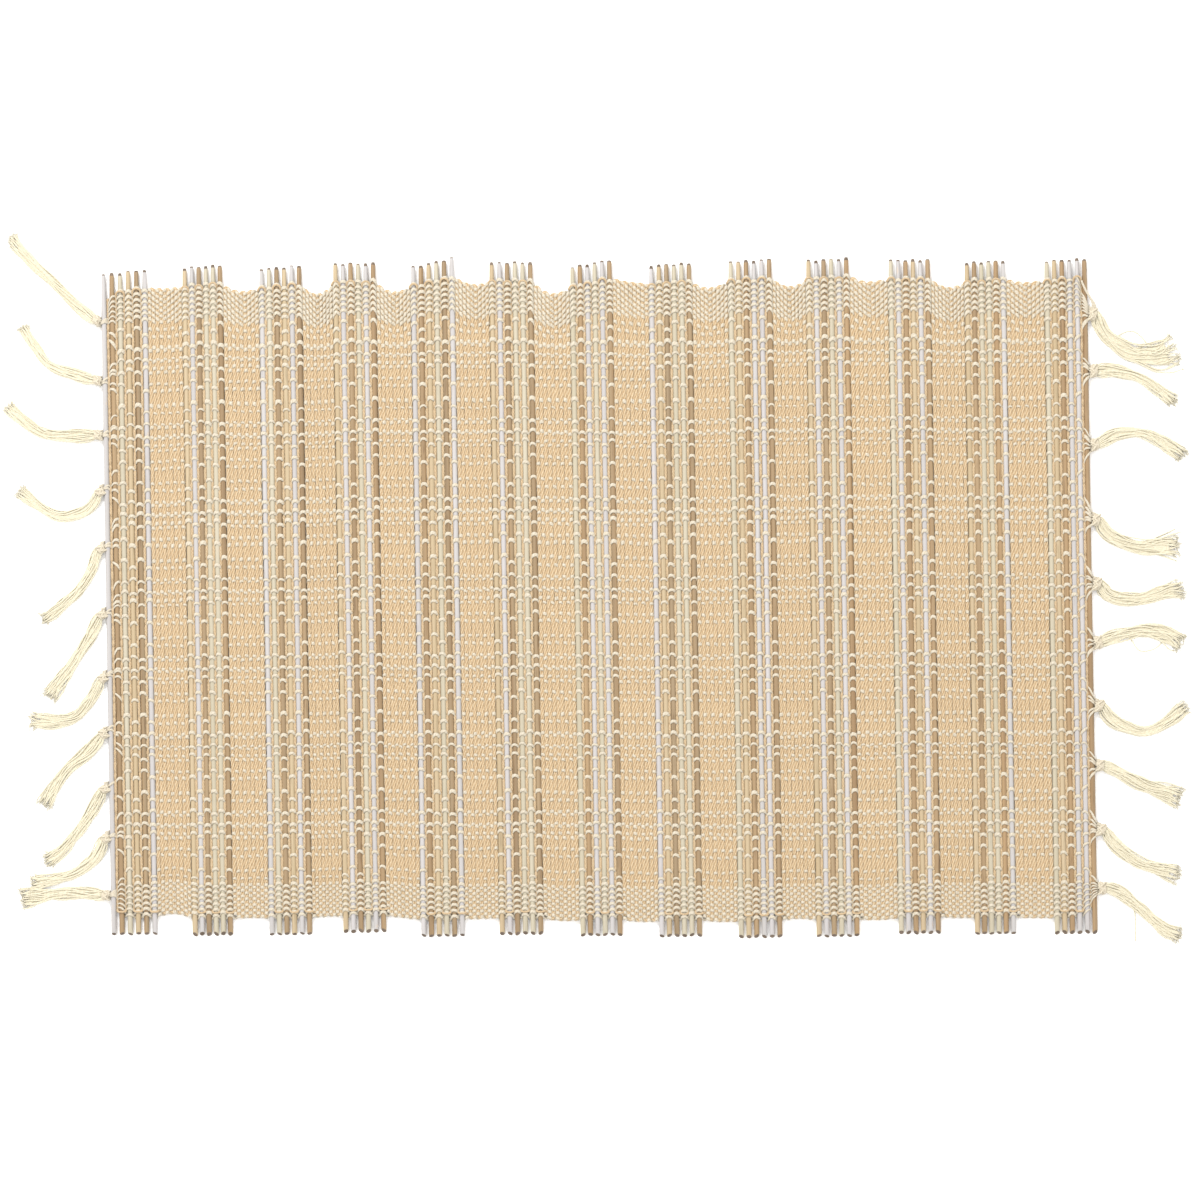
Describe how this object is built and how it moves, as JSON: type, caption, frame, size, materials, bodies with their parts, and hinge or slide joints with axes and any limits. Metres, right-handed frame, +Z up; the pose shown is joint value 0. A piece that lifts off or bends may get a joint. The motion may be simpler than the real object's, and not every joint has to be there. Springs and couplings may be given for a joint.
{
  "type": "bath mat",
  "caption": "Flat rectangular bath mat of round sticks woven side by side in groups between cotton bands, with knotted tassels along both ends; rolls up along its length.",
  "frame": {"origin": "middle of the whole mat, fringe included, on the floor it lies on", "axes": "+X along the mat's length towards the right-hand fringe, +Y along the sticks, +Z up from the floor"},
  "size_m": [0.7194, 0.4374, 0.006],
  "materials": {
    "stick_wood": "round wooden sticks, some painted white or cream and some left natural or stained tan brown, satin",
    "weft_cotton": "peach-tan twisted cotton weft crossed by thin cream cotton warp, matte",
    "warp_cotton": "cream cotton yarn, matte, loosely twisted and frayed at the tips"
  },
  "bodies": {
    "group_01": {"stick_group_01": "stick_wood"},
    "group_02": {"stick_group_02": "stick_wood"},
    "group_03": {"stick_group_03": "stick_wood"},
    "group_04": {"stick_group_04": "stick_wood"},
    "group_05": {"stick_group_05": "stick_wood"},
    "group_06": {"stick_group_06": "stick_wood"},
    "group_07": {"stick_group_07": "stick_wood"},
    "group_08": {"stick_group_08": "stick_wood"},
    "group_09": {"stick_group_09": "stick_wood"},
    "group_10": {"stick_group_10": "stick_wood"},
    "group_11": {"stick_group_11": "stick_wood"},
    "group_12": {"stick_group_12": "stick_wood"},
    "group_13": {"stick_group_13": "stick_wood"},
    "band_01": {"woven_band_01": "weft_cotton"},
    "band_02": {"woven_band_02": "weft_cotton"},
    "band_03": {"woven_band_03": "weft_cotton"},
    "band_04": {"woven_band_04": "weft_cotton"},
    "band_05": {"woven_band_05": "weft_cotton"},
    "band_06": {"woven_band_06": "weft_cotton"},
    "band_07": {"woven_band_07": "weft_cotton"},
    "band_08": {"woven_band_08": "weft_cotton"},
    "band_09": {"woven_band_09": "weft_cotton"},
    "band_10": {"woven_band_10": "weft_cotton"},
    "band_11": {"woven_band_11": "weft_cotton"},
    "band_12": {"woven_band_12": "weft_cotton"},
    "left_tassel_01": {"tassel_left_01": "warp_cotton"},
    "left_tassel_02": {"tassel_left_02": "warp_cotton"},
    "left_tassel_03": {"tassel_left_03": "warp_cotton"},
    "left_tassel_04": {"tassel_left_04": "warp_cotton"},
    "left_tassel_05": {"tassel_left_05": "warp_cotton"},
    "left_tassel_06": {"tassel_left_06": "warp_cotton"},
    "left_tassel_07": {"tassel_left_07": "warp_cotton"},
    "left_tassel_08": {"tassel_left_08": "warp_cotton"},
    "left_tassel_09": {"tassel_left_09": "warp_cotton"},
    "left_tassel_10": {"tassel_left_10": "warp_cotton"},
    "left_tassel_11": {"tassel_left_11": "warp_cotton"},
    "right_tassel_01": {"tassel_right_01": "warp_cotton"},
    "right_tassel_02": {"tassel_right_02": "warp_cotton"},
    "right_tassel_03": {"tassel_right_03": "warp_cotton"},
    "right_tassel_04": {"tassel_right_04": "warp_cotton"},
    "right_tassel_05": {"tassel_right_05": "warp_cotton"},
    "right_tassel_06": {"tassel_right_06": "warp_cotton"},
    "right_tassel_07": {"tassel_right_07": "warp_cotton"},
    "right_tassel_08": {"tassel_right_08": "warp_cotton"},
    "right_tassel_09": {"tassel_right_09": "warp_cotton"},
    "right_tassel_10": {"tassel_right_10": "warp_cotton"}
  },
  "joints": [
    {"name": "band_12_right_edge", "type": "hinge", "parent": "group_13", "child": "band_12", "pos_m": [0.2765, 0, 0.0023], "axis": [0, 1, 0], "range_deg": [0, 23.2]},
    {"name": "band_12_left_edge", "type": "hinge", "parent": "band_12", "child": "group_12", "pos_m": [0.2499, 0, 0.0023], "axis": [0, 1, 0], "range_deg": [0, 23.2]},
    {"name": "band_11_right_edge", "type": "hinge", "parent": "group_12", "child": "band_11", "pos_m": [0.2279, 0, 0.0023], "axis": [0, 1, 0], "range_deg": [0, 24]},
    {"name": "band_11_left_edge", "type": "hinge", "parent": "band_11", "child": "group_11", "pos_m": [0.20405, 0, 0.0023], "axis": [0, 1, 0], "range_deg": [0, 24]},
    {"name": "band_10_right_edge", "type": "hinge", "parent": "group_11", "child": "band_10", "pos_m": [0.18155, 0, 0.0023], "axis": [0, 1, 0], "range_deg": [0, 24.8]},
    {"name": "band_10_left_edge", "type": "hinge", "parent": "band_10", "child": "group_10", "pos_m": [0.1545, 0, 0.0023], "axis": [0, 1, 0], "range_deg": [0, 24.8]},
    {"name": "band_09_right_edge", "type": "hinge", "parent": "group_10", "child": "band_09", "pos_m": [0.1315, 0, 0.0023], "axis": [0, 1, 0], "range_deg": [0, 25.6]},
    {"name": "band_09_left_edge", "type": "hinge", "parent": "band_09", "child": "group_09", "pos_m": [0.10755, 0, 0.0023], "axis": [0, 1, 0], "range_deg": [0, 25.6]},
    {"name": "band_08_right_edge", "type": "hinge", "parent": "group_09", "child": "band_08", "pos_m": [0.08405, 0, 0.0023], "axis": [0, 1, 0], "range_deg": [0, 26.4]},
    {"name": "band_08_left_edge", "type": "hinge", "parent": "band_08", "child": "group_08", "pos_m": [0.0587, 0, 0.0023], "axis": [0, 1, 0], "range_deg": [0, 26.4]},
    {"name": "band_07_right_edge", "type": "hinge", "parent": "group_08", "child": "band_07", "pos_m": [0.0357, 0, 0.0023], "axis": [0, 1, 0], "range_deg": [0, 27.2]},
    {"name": "band_07_left_edge", "type": "hinge", "parent": "band_07", "child": "group_07", "pos_m": [0.01025, 0, 0.0023], "axis": [0, 1, 0], "range_deg": [0, 27.2]},
    {"name": "band_06_right_edge", "type": "hinge", "parent": "group_07", "child": "band_06", "pos_m": [-0.01225, 0, 0.0023], "axis": [0, 1, 0], "range_deg": [0, 28]},
    {"name": "band_06_left_edge", "type": "hinge", "parent": "band_06", "child": "group_06", "pos_m": [-0.03795, 0, 0.0023], "axis": [0, 1, 0], "range_deg": [0, 28]},
    {"name": "band_05_right_edge", "type": "hinge", "parent": "group_06", "child": "band_05", "pos_m": [-0.06145, 0, 0.0023], "axis": [0, 1, 0], "range_deg": [0, 28.8]},
    {"name": "band_05_left_edge", "type": "hinge", "parent": "band_05", "child": "group_05", "pos_m": [-0.08575, 0, 0.0023], "axis": [0, 1, 0], "range_deg": [0, 28.8]},
    {"name": "band_04_right_edge", "type": "hinge", "parent": "group_05", "child": "band_04", "pos_m": [-0.10925, 0, 0.0023], "axis": [0, 1, 0], "range_deg": [0, 29.6]},
    {"name": "band_04_left_edge", "type": "hinge", "parent": "band_04", "child": "group_04", "pos_m": [-0.1336, 0, 0.0023], "axis": [0, 1, 0], "range_deg": [0, 29.6]},
    {"name": "band_03_right_edge", "type": "hinge", "parent": "group_04", "child": "band_03", "pos_m": [-0.1566, 0, 0.0023], "axis": [0, 1, 0], "range_deg": [0, 30.4]},
    {"name": "band_03_left_edge", "type": "hinge", "parent": "band_03", "child": "group_03", "pos_m": [-0.1787, 0, 0.0023], "axis": [0, 1, 0], "range_deg": [0, 30.4]},
    {"name": "band_02_right_edge", "type": "hinge", "parent": "group_03", "child": "band_02", "pos_m": [-0.2017, 0, 0.0023], "axis": [0, 1, 0], "range_deg": [0, 31.2]},
    {"name": "band_02_left_edge", "type": "hinge", "parent": "band_02", "child": "group_02", "pos_m": [-0.22695, 0, 0.0023], "axis": [0, 1, 0], "range_deg": [0, 31.2]},
    {"name": "band_01_right_edge", "type": "hinge", "parent": "group_02", "child": "band_01", "pos_m": [-0.24845, 0, 0.0023], "axis": [0, 1, 0], "range_deg": [0, 32]},
    {"name": "band_01_left_edge", "type": "hinge", "parent": "band_01", "child": "group_01", "pos_m": [-0.2729, 0, 0.0023], "axis": [0, 1, 0], "range_deg": [0, 32]},
    {"name": "tassel_left_01_lift", "type": "hinge", "parent": "group_01", "child": "left_tassel_01", "pos_m": [-0.2979, 0.16762, 0.0023], "axis": [0, 1, 0], "range_deg": [0, 75]},
    {"name": "tassel_left_02_lift", "type": "hinge", "parent": "group_01", "child": "left_tassel_02", "pos_m": [-0.2979, 0.13162, 0.0023], "axis": [0, 1, 0], "range_deg": [0, 75]},
    {"name": "tassel_left_03_lift", "type": "hinge", "parent": "group_01", "child": "left_tassel_03", "pos_m": [-0.2979, 0.09882, 0.0023], "axis": [0, 1, 0], "range_deg": [0, 75]},
    {"name": "tassel_left_04_lift", "type": "hinge", "parent": "group_01", "child": "left_tassel_04", "pos_m": [-0.2979, 0.06592, 0.0023], "axis": [0, 1, 0], "range_deg": [0, 75]},
    {"name": "tassel_left_05_lift", "type": "hinge", "parent": "group_01", "child": "left_tassel_05", "pos_m": [-0.2979, 0.03122, 0.0023], "axis": [0, 1, 0], "range_deg": [0, 75]},
    {"name": "tassel_left_06_lift", "type": "hinge", "parent": "group_01", "child": "left_tassel_06", "pos_m": [-0.2979, -0.00898, 0.0023], "axis": [0, 1, 0], "range_deg": [0, 75]},
    {"name": "tassel_left_07_lift", "type": "hinge", "parent": "group_01", "child": "left_tassel_07", "pos_m": [-0.2979, -0.04738, 0.0023], "axis": [0, 1, 0], "range_deg": [0, 75]},
    {"name": "tassel_left_08_lift", "type": "hinge", "parent": "group_01", "child": "left_tassel_08", "pos_m": [-0.2979, -0.08148, 0.0023], "axis": [0, 1, 0], "range_deg": [0, 75]},
    {"name": "tassel_left_09_lift", "type": "hinge", "parent": "group_01", "child": "left_tassel_09", "pos_m": [-0.2979, -0.11498, 0.0023], "axis": [0, 1, 0], "range_deg": [0, 75]},
    {"name": "tassel_left_10_lift", "type": "hinge", "parent": "group_01", "child": "left_tassel_10", "pos_m": [-0.2979, -0.14508, 0.0023], "axis": [0, 1, 0], "range_deg": [0, 75]},
    {"name": "tassel_left_11_lift", "type": "hinge", "parent": "group_01", "child": "left_tassel_11", "pos_m": [-0.2979, -0.18158, 0.0023], "axis": [0, 1, 0], "range_deg": [0, 75]},
    {"name": "tassel_right_01_lift", "type": "hinge", "parent": "group_13", "child": "right_tassel_01", "pos_m": [0.2995, 0.16822, 0.0023], "axis": [0, 1, 0], "range_deg": [-75, 0]},
    {"name": "tassel_right_02_lift", "type": "hinge", "parent": "group_13", "child": "right_tassel_02", "pos_m": [0.2995, 0.12802, 0.0023], "axis": [0, 1, 0], "range_deg": [-75, 0]},
    {"name": "tassel_right_03_lift", "type": "hinge", "parent": "group_13", "child": "right_tassel_03", "pos_m": [0.2995, 0.08292, 0.0023], "axis": [0, 1, 0], "range_deg": [-75, 0]},
    {"name": "tassel_right_04_lift", "type": "hinge", "parent": "group_13", "child": "right_tassel_04", "pos_m": [0.2995, 0.03792, 0.0023], "axis": [0, 1, 0], "range_deg": [-75, 0]},
    {"name": "tassel_right_05_lift", "type": "hinge", "parent": "group_13", "child": "right_tassel_05", "pos_m": [0.2995, -0.00108, 0.0023], "axis": [0, 1, 0], "range_deg": [-75, 0]},
    {"name": "tassel_right_06_lift", "type": "hinge", "parent": "group_13", "child": "right_tassel_06", "pos_m": [0.2995, -0.03758, 0.0023], "axis": [0, 1, 0], "range_deg": [-75, 0]},
    {"name": "tassel_right_07_lift", "type": "hinge", "parent": "group_13", "child": "right_tassel_07", "pos_m": [0.2995, -0.07538, 0.0023], "axis": [0, 1, 0], "range_deg": [-75, 0]},
    {"name": "tassel_right_08_lift", "type": "hinge", "parent": "group_13", "child": "right_tassel_08", "pos_m": [0.2995, -0.11198, 0.0023], "axis": [0, 1, 0], "range_deg": [-75, 0]},
    {"name": "tassel_right_09_lift", "type": "hinge", "parent": "group_13", "child": "right_tassel_09", "pos_m": [0.2995, -0.15088, 0.0023], "axis": [0, 1, 0], "range_deg": [-75, 0]},
    {"name": "tassel_right_10_lift", "type": "hinge", "parent": "group_13", "child": "right_tassel_10", "pos_m": [0.2995, -0.18688, 0.0023], "axis": [0, 1, 0], "range_deg": [-75, 0]}
  ],
  "couplings": [
    {"joint": "band_12_left_edge", "follows": "band_12_right_edge", "ratio": 1},
    {"joint": "band_11_left_edge", "follows": "band_11_right_edge", "ratio": 1},
    {"joint": "band_10_left_edge", "follows": "band_10_right_edge", "ratio": 1},
    {"joint": "band_09_left_edge", "follows": "band_09_right_edge", "ratio": 1},
    {"joint": "band_08_left_edge", "follows": "band_08_right_edge", "ratio": 1},
    {"joint": "band_07_left_edge", "follows": "band_07_right_edge", "ratio": 1},
    {"joint": "band_06_left_edge", "follows": "band_06_right_edge", "ratio": 1},
    {"joint": "band_05_left_edge", "follows": "band_05_right_edge", "ratio": 1},
    {"joint": "band_04_left_edge", "follows": "band_04_right_edge", "ratio": 1},
    {"joint": "band_03_left_edge", "follows": "band_03_right_edge", "ratio": 1},
    {"joint": "band_02_left_edge", "follows": "band_02_right_edge", "ratio": 1},
    {"joint": "band_01_left_edge", "follows": "band_01_right_edge", "ratio": 1},
    {"joint": "tassel_left_02_lift", "follows": "tassel_left_01_lift", "ratio": 1},
    {"joint": "tassel_left_03_lift", "follows": "tassel_left_01_lift", "ratio": 1},
    {"joint": "tassel_left_04_lift", "follows": "tassel_left_01_lift", "ratio": 1},
    {"joint": "tassel_left_05_lift", "follows": "tassel_left_01_lift", "ratio": 1},
    {"joint": "tassel_left_06_lift", "follows": "tassel_left_01_lift", "ratio": 1},
    {"joint": "tassel_left_07_lift", "follows": "tassel_left_01_lift", "ratio": 1},
    {"joint": "tassel_left_08_lift", "follows": "tassel_left_01_lift", "ratio": 1},
    {"joint": "tassel_left_09_lift", "follows": "tassel_left_01_lift", "ratio": 1},
    {"joint": "tassel_left_10_lift", "follows": "tassel_left_01_lift", "ratio": 1},
    {"joint": "tassel_left_11_lift", "follows": "tassel_left_01_lift", "ratio": 1},
    {"joint": "tassel_right_02_lift", "follows": "tassel_right_01_lift", "ratio": 1},
    {"joint": "tassel_right_03_lift", "follows": "tassel_right_01_lift", "ratio": 1},
    {"joint": "tassel_right_04_lift", "follows": "tassel_right_01_lift", "ratio": 1},
    {"joint": "tassel_right_05_lift", "follows": "tassel_right_01_lift", "ratio": 1},
    {"joint": "tassel_right_06_lift", "follows": "tassel_right_01_lift", "ratio": 1},
    {"joint": "tassel_right_07_lift", "follows": "tassel_right_01_lift", "ratio": 1},
    {"joint": "tassel_right_08_lift", "follows": "tassel_right_01_lift", "ratio": 1},
    {"joint": "tassel_right_09_lift", "follows": "tassel_right_01_lift", "ratio": 1},
    {"joint": "tassel_right_10_lift", "follows": "tassel_right_01_lift", "ratio": 1}
  ]
}
